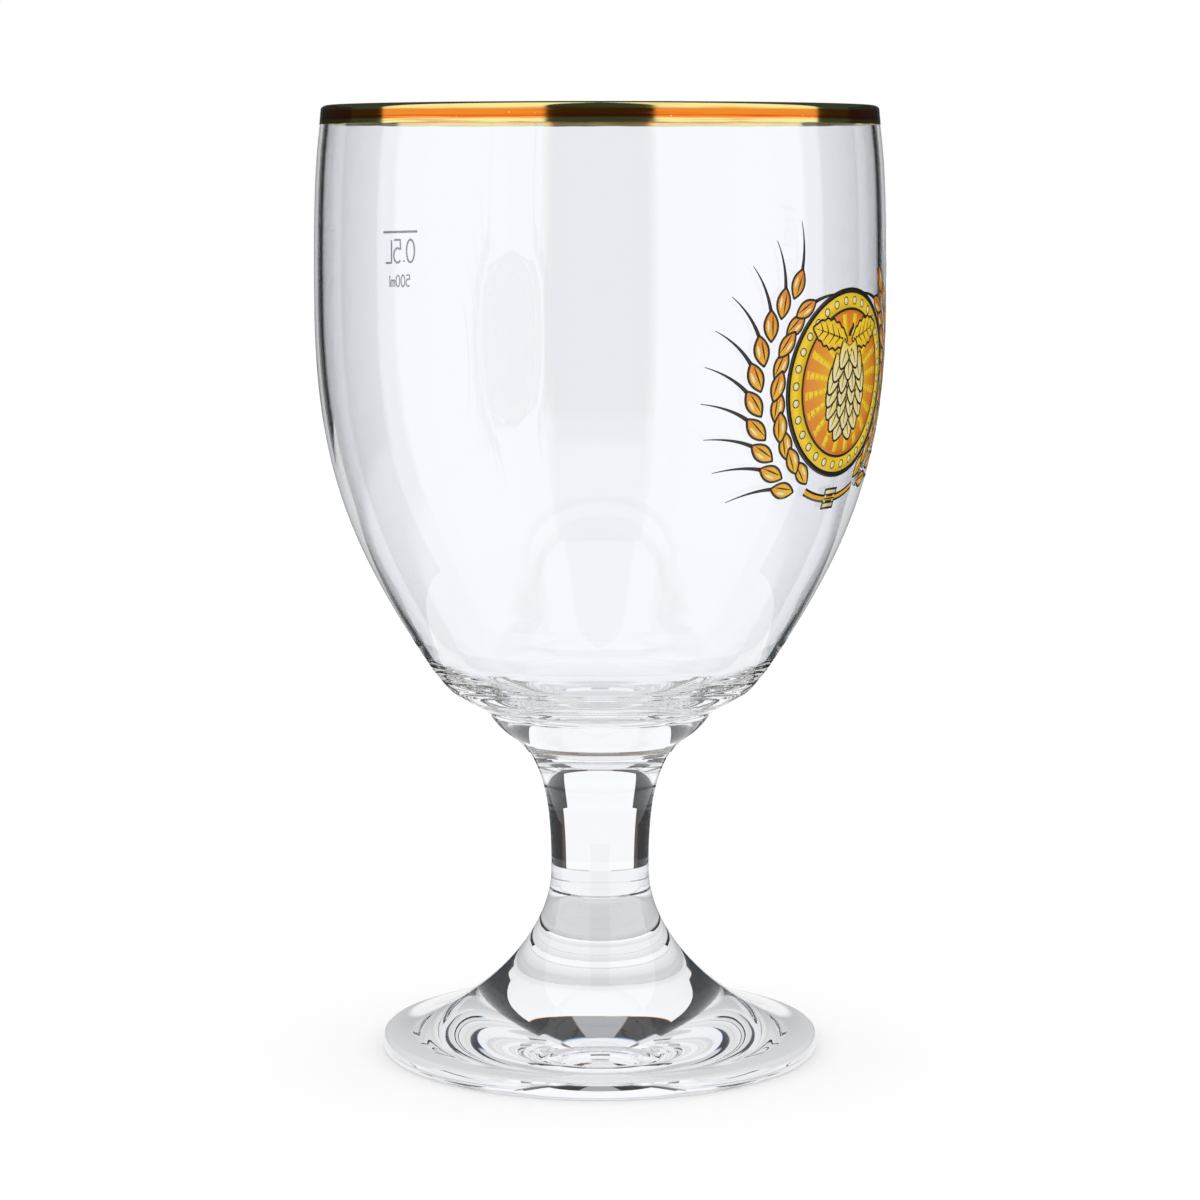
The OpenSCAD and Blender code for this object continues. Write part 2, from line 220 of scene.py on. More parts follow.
def heel_side(s):
    """The outside from the heel over a soft crease and a rib to the underside: three curves in a row."""
    drop = s.heel_z - s.crease[1]
    over = s.crease + s.rib_soft * lean(s.rib_top_angle)
    under = s.crease - s.rib_soft * lean(s.rib_side_angle)
    shoulder = bezier(s.heel, s.heel - drop * 0.98 * lean(s.heel_angle),
                      over + drop * 0.387 * lean(s.rib_top_angle), over, 3 * STEPS)
    ahead = np.gradient(shoulder, axis=0)
    ahead /= np.linalg.norm(ahead, axis=1, keepdims=True)
    along = np.cumsum(np.linalg.norm(np.diff(shoulder[::-1], axis=0, prepend=shoulder[-1:]), axis=1))[::-1]
    fade = np.clip(along / s.rib_soft, 0, 1) * np.clip(1 - along / (4 * s.wave_l), 0, 1) ** 0.7
    wave = s.wave_h * fade * np.sin(2 * math.pi * (along / s.wave_l + 0.9))
    shoulder = shoulder + wave[:, None] * np.column_stack([-ahead[:, 1], ahead[:, 0]])
    crease = bezier(over, over + 0.66 * (s.crease - over), under + 0.66 * (s.crease - under), under, 12)
    rib = bezier(under, under - s.rib_h * 0.766 * lean(s.rib_side_angle),
                 s.base + s.rib_h * 0.487 * lean(s.base_angle), s.base)
    return np.vstack([shoulder, crease[1:], rib[1:]])


def floor_side(s):
    """The inside from the heel to the middle of the floor."""
    heel = s.heel + s.heel_wall * lean(s.heel_angle + math.pi / 2)
    middle = np.array([0.0, s.joint_z + s.floor_t])
    return bezier(heel, heel - (heel[1] - middle[1]) * 0.8 * lean(s.heel_angle), middle + [heel[0] * 0.76, 0],
                  middle, 2 * STEPS)


def lip_arc(s, extra=0.0, steps=16):
    """The round top of the lip, from outside to inside, grown by extra."""
    angle = np.linspace(0.0, math.pi, steps + 1)[:, None]
    return np.array([s.mouth_r - s.lip_r, s.lip_z]) + (s.lip_r + extra) * np.hstack([np.cos(angle), np.sin(angle)])


def stem_side(s):
    """The outside of the stem from the bowl down to the waist."""
    top, drop = np.array([s.joint_r, s.joint_z]), s.joint_z - s.waist_z
    return bezier(top, top - drop * 0.235 * np.array([0.6, 1.0]), s.waist + [0, drop * 0.525], s.waist)


def flare_side(s):
    """The outside from the waist out to the edge of the foot."""
    return bezier(s.waist, s.waist - [0, (s.waist_z - s.edge_t) * 0.487],
                  s.edge + (s.edge[0] - s.waist_r) * 0.407 * lean(math.pi - s.foot_slope), s.edge, 2 * STEPS)


def cut_at(profile, height):
    """The place on a falling profile at a height, and the parts above and below it."""
    radius = np.interp(-height, -profile[:, 1], profile[:, 0])
    cut = np.array([[radius, height]])
    above, below = profile[profile[:, 1] > height + 1e-9], profile[profile[:, 1] < height - 1e-9]
    return np.vstack([above, cut]), np.vstack([cut, below])


def grid_faces(rows, columns, wrap_rows=False, wrap_columns=False):
    """Quads of a grid of rows by columns, as four index columns."""
    i = np.arange(rows if wrap_rows else rows - 1)
    j = np.arange(columns if wrap_columns else columns - 1)
    i, j = (k.ravel() for k in np.meshgrid(i, j, indexing="ij"))
    below, beside = (i + 1) % rows, (j + 1) % columns
    return np.stack([i * columns + j, i * columns + beside, below * columns + beside, below * columns + j], 1)


def make_piece(name, points, faces, materials, slots=None, sharp=30.0, uv=None, shade=None):
    """A mesh object at the origin, with doubles merged, smooth shading and edges kept where it turns sharply."""
    mesh = bpy.data.meshes.new(name)
    mesh.from_pydata(points.tolist(), [], faces.tolist())
    for material in materials:
        mesh.materials.append(material)
    if slots is not None:
        mesh.polygons.foreach_set("material_index", slots.astype(np.int32))
    if uv is not None:
        layer = mesh.uv_layers.new(name="print")
        corner = np.empty(len(mesh.loops), np.int32)
        mesh.loops.foreach_get("vertex_index", corner)
        layer.data.foreach_set("uv", uv[corner].astype(np.float32).ravel())
    if shade is not None:
        mesh.attributes.new("shade", "FLOAT", "POINT").data.foreach_set("value", shade.astype(np.float32))
    merge_doubles(mesh)
    mesh.shade_smooth()
    mesh.set_sharp_from_angle(angle=math.radians(sharp))
    mesh.update()
    piece = bpy.data.objects.new(name, mesh)
    bpy.context.scene.collection.objects.link(piece)
    return piece


def merge_doubles(mesh):
    """Closes seams and poles: points in one place become one, and a face that has lost its area goes."""
    work = bmesh.new()
    work.from_mesh(mesh)
    bmesh.ops.remove_doubles(work, verts=work.verts, dist=1e-7)
    work.to_mesh(mesh)
    work.free()


def lathe(profile, around=AROUND):
    """Turns a profile round Z: (r cos a, r sin a, z) for each row (r, z) and each angle a. The profile runs
    from the bottom outwards, up the outside and back inside, so that the faces point out of the glass."""
    angle = np.linspace(0.0, 2 * math.pi, around, endpoint=False)
    r, z = profile[:, :1], profile[:, 1:]
    points = np.stack([r * np.cos(angle), r * np.sin(angle), z + 0 * angle], -1)
    return points.reshape(-1, 3), grid_faces(len(profile), around, wrap_columns=True)


def spokes(start, end, height, steps=6):
    """A level disc's profile between two radii."""
    radius = np.linspace(start, end, steps + 1)
    return np.column_stack([radius, np.full(steps + 1, height)])


def turned_piece(name, parts, joints, materials):
    """A turned solid from the parts of its profile. joints are the parts that are fused faces: they take the
    second material, all others the first."""
    profile, slot = parts[0], []
    for index, part in enumerate(parts):
        if index:
            slot += [0]
            profile = np.vstack([profile, part])
        slot += [int(index in joints)] * (len(part) - 1)
    points, faces = lathe(profile)
    return make_piece(name, points, faces, materials, np.repeat(slot, AROUND))


def add(tree, kind, inputs=None, **settings):
    """Adds a node with its settings. A socket given for an input is linked to it, and any other value is set."""
    made = tree.nodes.new(kind)
    for name, value in settings.items():
        setattr(made, name, value)
    for key, value in (inputs or {}).items():
        if isinstance(value, bpy.types.NodeSocket):
            tree.links.new(value, made.inputs[key])
        else:
            made.inputs[key].default_value = value
    return made


def new_material(name):
    """An empty node material, its tree and its output node."""
    material = bpy.data.materials.new(name)
    material.use_nodes = True
    tree = material.node_tree
    tree.nodes.clear()
    return material, tree, add(tree, "ShaderNodeOutputMaterial")


def blend_colour(tree, factor, a, b, blend_type="MIX"):
    """A mix of two colours, by a factor that is a socket or a number."""
    mixed = add(tree, "ShaderNodeMix", {0: factor, 6: (*a, 1) if isinstance(a, tuple) else a,
                                        7: (*b, 1) if isinstance(b, tuple) else b},
                data_type="RGBA", blend_type=blend_type)
    return mixed.outputs[2]


def ramp(tree, value, low, high, to_low=0.0, to_high=1.0, smooth=True):
    """Maps a value from one range to another, clamped."""
    return add(tree, "ShaderNodeMapRange", {0: value, 1: low, 2: high, 3: to_low, 4: to_high},
               interpolation_type="SMOOTHSTEP" if smooth else "LINEAR").outputs[0]


def math_node(tree, operation, a, b=0.0):
    """One sum on two values."""
    return add(tree, "ShaderNodeMath", {0: a, 1: b}, operation=operation).outputs[0]


def fire_polished_glass(name, look, wave, depth):
    """Soda-lime glass, blown or pressed and then fire-polished: clear, mirror-smooth, with faint waves left by
    the mould, which bend what is seen through it. wave is their length and depth their height."""
    material, tree, output = new_material(name)
    place = add(tree, "ShaderNodeTexCoord").outputs["Object"]
    stretched = add(tree, "ShaderNodeMapping", {"Vector": place, "Scale": (1.0, 1.0, 1.6)}).outputs[0]
    waves = add(tree, "ShaderNodeTexNoise", {"Vector": stretched, "Scale": 1 / wave, "Detail": 2.0}).outputs[0]
    bump = add(tree, "ShaderNodeBump", {"Height": waves, "Distance": depth, "Strength": 1.0}).outputs[0]
    glass = add(tree, "ShaderNodeBsdfPrincipled", {
        "Base Color": (*look.glass, 1), "Roughness": 0.0, "IOR": 1.52, "Transmission Weight": 1.0, "Normal": bump})
    tree.links.new(glass.outputs[0], output.inputs["Surface"])
    return material


def fused_joint():
    """Two pieces of glass melted together: nothing shows where they meet."""
    material, tree, output = new_material("fused_glass_joint")
    clear = add(tree, "ShaderNodeBsdfTransparent", {"Color": (1, 1, 1, 1)})
    tree.links.new(clear.outputs[0], output.inputs["Surface"])
    return material


def fired_gold_lustre(look, s):
    """Gold lustre, brushed on and fired to a bright mirror film. Its colour is banded by height: pale over the lip and
    along its lower edge, which is painted highlight, orange between them and reddest low down, with level brush
    streaks and fine bright specks."""
    material, tree, output = new_material("fired_gold_lustre")
    place = add(tree, "ShaderNodeTexCoord").outputs["Object"]
    height = add(tree, "ShaderNodeSeparateXYZ", {0: place}).outputs["Z"]
    flat = add(tree, "ShaderNodeMapping", {"Vector": place, "Scale": (60.0, 60.0, 2600.0)}).outputs[0]
    streaks = add(tree, "ShaderNodeTexNoise", {"Vector": flat, "Scale": 1.0, "Detail": 4.0}).outputs[0]
    level = ramp(tree, height, s.glass_h - s.gold_h, s.glass_h, smooth=False)
    level = math_node(tree, "ADD", level, ramp(tree, streaks, 0.3, 0.7, -0.05, 0.05, smooth=False))
    tones = add(tree, "ShaderNodeValToRGB", {0: level})
    gold, deep, pale = tuple(look.gold), tuple(look.gold_deep), tuple(look.gold_painted_highlight)
    # The pale stops at the bottom and top of the band are painted highlight; the orange and red stops lie between
    # them.
    stops = ((0.0, pale), (0.18, pale), (0.28, gold), (0.34, deep), (0.44, gold), (0.68, gold), (0.78, pale))
    for index, (at, tone) in enumerate(stops):
        stop = tones.color_ramp.elements[index] if index < 2 else tones.color_ramp.elements.new(at)
        stop.position, stop.color = at, (*tone, 1)
    deeper = tuple(c * f for c, f in zip(gold, (0.9, 0.62, 0.5)))
    tone = blend_colour(tree, ramp(tree, streaks, 0.56, 0.74, 0.0, 0.5), tones.outputs[0], deeper)
    specks = add(tree, "ShaderNodeTexVoronoi", {"Vector": place, "Scale": 1 / (0.9 * MM)})
    chance = add(tree, "ShaderNodeSeparateColor", {0: specks.outputs["Color"]}).outputs[0]
    few = math_node(tree, "LESS_THAN", chance, 0.3)
    spark = math_node(tree, "MULTIPLY", ramp(tree, specks.outputs["Distance"], 0.14, 0.05), few)
    tone = blend_colour(tree, spark, tone, (1.0, 0.93, 0.72))
    rough = ramp(tree, streaks, 0.3, 0.7, 0.05, 0.12, smooth=False)
    bump = add(tree, "ShaderNodeBump", {"Height": streaks, "Distance": 0.004 * MM, "Strength": 0.5}).outputs[0]
    metal = add(tree, "ShaderNodeBsdfPrincipled", {"Base Color": tone, "Metallic": 1.0, "Roughness": rough,
                                                   "Normal": bump})
    tree.links.new(metal.outputs[0], output.inputs["Surface"])
    return material


def fired_enamel(name, light, deep, dot_pitch=0.0):
    """Screen-printed glass enamel, fired on: opaque, glossy, slightly uneven. Where it has a dot pitch, the deep
    colour is printed in dots that grow with the shade until they close up."""
    material, tree, output = new_material(name)
    place = add(tree, "ShaderNodeTexCoord").outputs["Object"]
    shade = add(tree, "ShaderNodeAttribute", attribute_name="shade").outputs["Fac"]
    if dot_pitch:
        uv = add(tree, "ShaderNodeUVMap", uv_map="print").outputs[0]
        turned = add(tree, "ShaderNodeMapping", {"Vector": uv, "Rotation": (0, 0, math.radians(45)),
                                                 "Scale": (MM / dot_pitch,) * 3}).outputs[0]
        cell = add(tree, "ShaderNodeVectorMath", {0: turned}, operation="FRACTION").outputs[0]
        offset = add(tree, "ShaderNodeVectorMath", {0: cell, 1: (0.5, 0.5, 0.0)}, operation="SUBTRACT").outputs[0]
        away = add(tree, "ShaderNodeVectorMath", {0: offset}, operation="LENGTH").outputs["Value"]
        reach = ramp(tree, shade, 0.0, 1.0, 0.0, 0.75, smooth=False)
        dots = ramp(tree, math_node(tree, "SUBTRACT", reach, away), -0.09, 0.09)
        factor = math_node(tree, "ADD", math_node(tree, "MULTIPLY", dots, 0.55),
                           math_node(tree, "MULTIPLY", shade, 0.45))
    else:
        factor = shade
    tone = blend_colour(tree, factor, tuple(light), tuple(deep))
    grain = add(tree, "ShaderNodeTexNoise", {"Vector": place, "Scale": 1 / (0.5 * MM), "Detail": 3.0}).outputs[0]
    tone = blend_colour(tree, ramp(tree, grain, 0.3, 0.7, 0.0, 0.12, smooth=False), tone, tuple(deep))
    bump = add(tree, "ShaderNodeBump", {"Height": grain, "Distance": 0.01 * MM, "Strength": 0.3}).outputs[0]
    enamel = add(tree, "ShaderNodeBsdfPrincipled", {"Base Color": tone, "Roughness": 0.28, "IOR": 1.5,
                                                    "Normal": bump})
    tree.links.new(enamel.outputs[0], output.inputs["Surface"])
    return material


class Sheet:
    """Patches of one ink, drawn flat and then laid on the bowl. A patch is a grid of flat points, with the lift
    of its layer and a shade for each point."""

    def __init__(self):
        self.points, self.faces, self.shades, self.lifts, self.count = [], [], [], [], 0

    def patch(self, flat, lift, shade=0.5, wrap=False):
        """Adds a patch: flat is rows by columns by (across, up). wrap joins its last column to its first."""
        rows, columns = flat.shape[:2]
        faces = grid_faces(rows, columns, wrap_columns=wrap)
        corner = flat.reshape(-1, 2)[faces]
        ahead, aside = corner[:, 2] - corner[:, 0], corner[:, 3] - corner[:, 1]
        if (ahead[:, 0] * aside[:, 1] - ahead[:, 1] * aside[:, 0]).sum() < 0:
            faces = faces[:, ::-1]
        self.points.append(flat.reshape(-1, 2))
        self.shades.append(np.broadcast_to(shade, (rows, columns)).reshape(-1))
        self.lifts.append(np.full(rows * columns, float(lift)))
        self.faces.append(faces + self.count)
        self.count += rows * columns

    def lay(self, name, s, azimuth, middle_z, material):
        """Lays the sheet on the bowl and gives it its thickness. A flat point (x, y) goes straight back along the
        azimuth to the surface: forward sqrt(R(z)^2 - x^2), sideways x, up y, where R is the bowl's radius."""
        flat, lifts = np.vstack(self.points), np.concatenate(self.lifts)
        side = upper_side(s, 0, 0, 0)[::-1]
        z = middle_z + flat[:, 1]
        radius = np.interp(z, side[:, 1], side[:, 0]) + lifts
        forward = np.sqrt(np.maximum(radius ** 2 - flat[:, 0] ** 2, 0))
        out = np.array([math.sin(azimuth), -math.cos(azimuth)])
        along = np.array([math.cos(azimuth), math.sin(azimuth)])
        ground = forward[:, None] * out + flat[:, :1] * along
        piece = make_piece(name, np.column_stack([ground, z]), np.vstack(self.faces), [material],
                           uv=flat / MM, shade=np.concatenate(self.shades))
        film = piece.modifiers.new("film", "SOLIDIFY")
        film.thickness, film.offset = INK_T, -1.0
        return piece


def placed(flat, x=0.0, y=0.0, angle=0.0, flip=False):
    """Flat points turned by an angle, moved, and mirrored left to right if flip is set."""
    c, s = math.cos(angle), math.sin(angle)
    moved = flat @ np.array([[c, s], [-s, c]]) + [x, y]
    return moved * [-1, 1] if flip else moved


def annulus(inner, outer, around=96, rings=1):
    """A flat ring between two radii: r (cos a, sin a)."""
    r = np.linspace(inner, outer, rings + 1)[:, None]
    a = np.linspace(0, 2 * math.pi, around, endpoint=False)
    return np.stack([r * np.cos(a), r * np.sin(a)], -1)


def blade(length, half_width, steps=16, across=4):
    """A flat leaf along x from 0 to length. half_width gives half its width at each share of its length."""
    share = np.linspace(0, 1, steps + 1)[:, None]
    t = np.linspace(-1, 1, across + 1)
    return np.stack([length * share + 0 * t, half_width(share) * t], -1)


def strip(path, width):
    """A line of the given width, or widths, carried along a path of flat points, square to it."""
    ahead = np.gradient(path, axis=0)
    square = np.column_stack([-ahead[:, 1], ahead[:, 0]])
    square /= np.maximum(np.linalg.norm(square, axis=1, keepdims=True), 1e-12)
    reach = square * (np.broadcast_to(width, len(path)) / 2)[:, None]
    return np.stack([path - reach, path, path + reach], 1)


def outline(length, half_width, width, steps=16):
    """The line round a blade, as a closed strip."""
    share = (1 - np.cos(np.linspace(0, math.pi, steps + 1))) / 2
    upper = np.column_stack([length * share, half_width(share)])
    lower = (upper * [1, -1])[::-1][1:-1]
    loop = np.vstack([upper, lower])
    ahead = np.roll(loop, -1, 0) - np.roll(loop, 1, 0)
    square = np.column_stack([-ahead[:, 1], ahead[:, 0]])
    square /= np.linalg.norm(square, axis=1, keepdims=True)
    return np.stack([loop - square * width / 2, loop + square * width / 2], 0)


def draw_medallion(s, ink):
    """The round medallion: dark rings, a yellow band with cream beads, and an amber field with pale rays."""
    at = lambda flat, **k: placed(flat, y=-s.medal_drop, **k)
    medal_r = s.medal_d / 2
    band_r = medal_r - s.ring_w
    inner_ring_r = band_r - s.band_w
    field_r = inner_ring_r - s.inner_ring_w
    ink.dark.patch(at(annulus(band_r, medal_r)), ink.line_lift, wrap=True)
    ink.dark.patch(at(annulus(field_r, inner_ring_r)), ink.line_lift, wrap=True)
    ink.yellow.patch(at(annulus(inner_ring_r, band_r)), ink.base_lift, 0.2, wrap=True)
    rings = 10
    shade = np.linspace(0, 1, rings + 1)[:, None] ** 1.2 * np.ones(96)
    ink.amber.patch(at(annulus(0, field_r, rings=rings)), ink.base_lift, shade, wrap=True)
    beads = 30
    for i in range(beads):
        angle = 2 * math.pi * i / beads
        x, y = (band_r - s.band_w / 2) * lean(angle)
        bead = placed(annulus(0, s.bead_d / 2, 16), x, y)
        ink.cream.patch(at(bead), ink.base_lift + 2 * PASS, 0.1, wrap=True)
        ink.dark.patch(at(placed(annulus(s.bead_d / 2 - 0.06 * MM, s.bead_d / 2 + 0.12 * MM, 16), x, y)),
                       ink.base_lift + 3 * PASS, wrap=True)
    rays = 20
    for i in range(rays):
        angle = 2 * math.pi * (i + 0.5) / rays
        x, y = 0.30 * field_r * lean(angle)
        ray = blade(0.66 * field_r, lambda share: 0.03 * field_r + 0.028 * field_r * share, 6, 2)
        ink.yellow.patch(at(placed(ray, x, y, angle)), ink.base_lift + 2 * PASS, 0.0)


def hop_half(s, share):
    """Half the hop cone's width at a share of its height: widest above the middle, pointed below."""
    return s.hop_w / 2 * np.sin(math.pi * np.clip(share, 0, 1) ** 1.3) ** 0.7


def draw_hop(s, ink):
    """The hop cone: rows of overlapping scales, from the point up, with two toothed leaves and a curled stalk."""
    rows, lift = 7, ink.base_lift + 6 * PASS
    at = lambda flat, **k: placed(flat, y=-s.medal_drop, **k)
    leaf_l, leaf_w = 0.56 * s.hop_h, 0.27 * s.hop_h
    teeth = lambda share: 1 + 0.2 * (np.abs((share * 6) % 1 - 0.5) * 2 - 0.5)
    leaf = lambda share: leaf_w / 2 * (4 * share * (1 - share)) ** 0.8 * teeth(share)
    for flip in (False, True):
        spot = dict(x=0.8 * MM, y=0.40 * s.hop_h, angle=math.radians(14))
        body = blade(leaf_l, leaf, 36)
        put = lambda flat: placed(placed(flat, **spot, flip=flip), y=-s.medal_drop)
        ink.yellow.patch(put(body), lift, 0.35 + 0.3 * np.linspace(0, 1, 37)[:, None])
        ink.dark.patch(put(outline(leaf_l, leaf, s.line_w, 36)), lift + PASS, wrap=True)
        spine = np.column_stack([np.linspace(0, leaf_l * 0.95, 12), np.zeros(12)])
        ink.dark.patch(put(strip(spine, np.linspace(1, 0.3, 12) * s.line_w)), lift + PASS)
        for share in (0.25, 0.42, 0.59, 0.74):
            for side in (-1, 1):
                start = np.array([leaf_l * share, 0])
                end = np.array([leaf_l * (share + 0.12), side * leaf(share) * 0.8])
                vein = start + (end - start) * np.linspace(0, 1, 6)[:, None]
                ink.dark.patch(put(strip(vein, np.linspace(0.8, 0.3, 6) * s.line_w)), lift + PASS)
    stalk_t = np.linspace(0, 1, 24)
    stalk = np.column_stack([1.5 * MM * np.sin(stalk_t * 2.2) ** 2 * stalk_t, s.hop_h * (0.44 + 0.115 * stalk_t)])
    ink.dark.patch(at(strip(stalk, np.linspace(2.6, 1.4, 24) * s.line_w)), lift + 3 * PASS)
    for row in range(rows):
        share = 0.16 + 0.70 * row / (rows - 1)
        half = float(hop_half(s, share + 0.05))
        count = max(1, round(2 * half / (3.1 * MM)))
        length = s.hop_h * (0.25 if row else 0.22)
        for k in range(count):
            across = 0.0 if count == 1 else (2 * k / (count - 1) - 1)
            width = 2 * half / count * 1.28 + 0.8 * MM
            petal = lambda t, w=width: w / 2 * np.clip(1 - t, 0, 1) ** 0.55 * np.clip(0.72 + 0.5 * t, 0, 1)
            x = across * max(half - width / 2, 0) * 1.02
            y = s.hop_h * (share - 0.5) + 0.05 * s.hop_h * (1 - across ** 2) * 0.6
            angle = math.radians(-90) + across * math.radians(26)
            level = lift + (4 + 3 * row + (k % 2)) * PASS
            body = placed(blade(length, petal, 12), x, y, angle)
            tone = 0.75 - 0.7 * np.linspace(0, 1, 13)[:, None]
            ink.cream.patch(at(body), level, tone)
            ink.dark.patch(at(placed(outline(length, petal, s.line_w, 14), x, y, angle)), level + PASS / 2, wrap=True)
            rib = np.column_stack([np.linspace(0.25, 0.8, 6) * length, np.zeros(6)])
            ink.dark.patch(at(placed(strip(rib, np.linspace(0.9, 0.3, 6) * s.line_w), x, y, angle)), level + PASS / 2)


def ear_places(s):
    """Where the grains of one ear stand: angle round the medallion, side of the ear, and place along it."""
    grains, start, end = 10, -70.0, 44.0
    for i in range(1, 2 * grains + 1):
        share = i / (2 * grains)
        yield math.radians(start + (end - start) * share), -1 if i % 2 else 1, share


def draw_ears(s, ink):
    """Two barley ears that curve up round the medallion, with straws that cross under a tie."""
    row_share = 0.46
    tip_share = 0.9  # beyond this share of the ear, the grains of both rows have an awn
    ear_r = s.medal_d / 2 + s.ear_gap + s.grain_w * (row_share + 0.5)
    grain = lambda share: s.grain_w / 2 * 4 * share * (1 - share)
    lift = ink.base_lift
    for flip in (False, True):
        at = lambda flat: placed(placed(flat, flip=flip), y=-s.medal_drop)
        arc = np.radians(np.linspace(-101, -66, 24))
        centre = ear_r * np.column_stack([np.cos(arc), np.sin(arc)])
        ink.dark.patch(at(strip(centre, 3.6 * s.line_w)), lift + (2 if flip else 0) * PASS)
        ink.amber.patch(at(strip(centre, 1.7 * s.line_w)), lift + (3 if flip else 1) * PASS, 0.4)
        for index, (angle, side, share) in enumerate(ear_places(s)):
            root = (ear_r + side * s.grain_w * row_share) * lean(angle)
            heading = angle + math.pi / 2 - side * math.radians(22)
            level = lift + (6 + index % 4 * 3) * PASS
            put = lambda flat: at(placed(flat, *root, heading))
            tone = np.clip(0.25 + 0.55 * np.linspace(0, 1, 17)[:, None] + 0.35 * (share - 0.5), 0, 1)
            if side > 0 or share > tip_share:
                t = np.linspace(0, 1, 14)
                bend = math.radians(-14) * t * side
                awn = s.grain_l * 0.9 + s.awn_l * 1.05 * t
                path = np.column_stack([awn * np.cos(bend), awn * np.sin(bend)])
                ink.dark.patch(put(strip(path, (1 - 0.85 * t) * s.awn_w)), lift + 4 * PASS)
            ink.amber.patch(put(blade(s.grain_l, grain)), level, tone)
            ink.dark.patch(put(outline(s.grain_l, grain, s.line_w)), level + PASS, wrap=True)
            crease = np.column_stack([np.linspace(0.15, 0.85, 8) * s.grain_l, np.full(8, 0.12 * s.grain_w * side)])
            ink.dark.patch(put(strip(crease, np.sin(np.linspace(0.3, 2.9, 8)) * 0.7 * s.line_w)), level + PASS)
            glint = blade(s.grain_l * 0.42, lambda t: 0.26 * MM * np.sin(math.pi * np.clip(t, 0, 1)), 8, 2)
            ink.cream.patch(put(glint + [s.grain_l * 0.3, -0.2 * s.grain_w * side]), level + PASS, 0.0)
    tie = np.array([[[-1, -1], [1, -1]], [[-1, 1], [1, 1]]]) / 2
    middle = [0, -ear_r - s.medal_drop]
    big = [s.tie_w + 2 * s.line_w, s.tie_h + 2 * s.line_w]
    ink.dark.patch(tie * big + middle, lift + 20 * PASS)
    ink.cream.patch(tie * [s.tie_w, s.tie_h] + middle, lift + 22 * PASS, 0.2)
    for y in (-0.25, 0, 0.25):
        bar = tie * [s.tie_w, 0.7 * s.line_w] + middle + [0, y * s.tie_h]
        ink.dark.patch(bar, lift + 24 * PASS)


def figure_path(sign, h):
    """The centre lines of one character of the capacity figure, h high, as arcs and straight runs."""
    w = 0.5 * h
    turn_by = lambda a, b, cx, cy, rx, ry: np.column_stack(
        [cx + rx * np.cos(np.radians(np.linspace(a, b, 24))), cy + ry * np.sin(np.radians(np.linspace(a, b, 24)))])
    run = lambda *points: np.array(points, float)
    return {
        "0": [turn_by(0, 360, w / 2, h / 2, w / 2, h / 2)],
        ".": [run((0, 0.02 * h), (0, 0.1 * h))],
        "5": [run((0.92 * w, h), (0.12 * w, h), (0.06 * w, 0.56 * h)),
              turn_by(130, -140, 0.48 * w, 0.32 * h, 0.5 * w, 0.32 * h)],
        "L": [run((0, h), (0, 0), (0.85 * w, 0))],
        "m": [run((0, 0), (0, 0.62 * h)), turn_by(180, 0, 0.26 * w, 0.4 * h, 0.26 * w, 0.2 * h),
              run((0.52 * w, 0.4 * h), (0.52 * w, 0)), turn_by(180, 0, 0.78 * w, 0.4 * h, 0.26 * w, 0.2 * h),
              run((1.04 * w, 0.4 * h), (1.04 * w, 0))],
        "l": [run((0, 0), (0, h))],
    }[sign]


def draw_mark(s, ink):
    """The fill line, with the capacity in litres under it and in millilitres under that."""
    across = np.linspace(-0.5, 0.5, 13)
    line = np.stack([np.column_stack([across * s.mark_l, np.full(13, y * s.mark_w)]) for y in (-0.5, 0.5)])
    ink.grey.patch(line, ink.base_lift)
    rows = (("0.5L", s.figure_h, -1.5 * MM, 0.42 * MM), ("500ml", 0.5 * s.figure_h, -8.2 * MM, 0.3 * MM))
    widths = {"0": 0.5, "5": 0.48, ".": 0.02, "L": 0.42, "m": 0.52, "l": 0.02}
    for text, h, top, pen in rows:
        gap = 0.17 * h
        total = sum(widths[c] * h for c in text) + gap * (len(text) - 1)
        x = -total / 2
        for sign in text:
            for path in figure_path(sign, h):
                dense = np.vstack([np.linspace(a, b, 5)[:-1] for a, b in zip(path[:-1], path[1:])] + [path[-1:]])
                ink.grey.patch(strip(dense + [x, top - h], pen), ink.base_lift)
            x += widths[sign] * h + gap


def look_of(context):
    """The colours that the user has set."""
    return context.scene.chalice_look


def show_as(piece, slot, *nodes):
    """The piece stands for its CAD nodes and moves with the glass. Its slot is not used."""
    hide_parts(*nodes)
    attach(piece, "root")


class CHALICE_OT_bowl(bpy.types.Operator):
    """Builds the blown bowl with its thick floor"""
    bl_idname = "chalice.bowl"
    bl_label = "Bowl"

    def execute(self, context):
        s = glass_sizes(context.scene)
        outside = np.vstack([heel_side(s)[::-1], upper_side(s, 0, 0, 0)[::-1][1:]])
        inside = np.vstack([upper_side(s, s.lip_wall, s.belly_wall, s.heel_wall), floor_side(s)[1:]])
        parts = [spokes(0, s.joint_r, s.joint_z), outside, lip_arc(s)[1:-1], inside]
        glass = fire_polished_glass("blown_soda_lime_glass", look_of(context), 14 * MM, 0.0015 * MM)
        show_as(turned_piece("bowl_glass", parts, (0,), [glass, fused_joint()]), "clear_glass", "bowl")
        return {"FINISHED"}


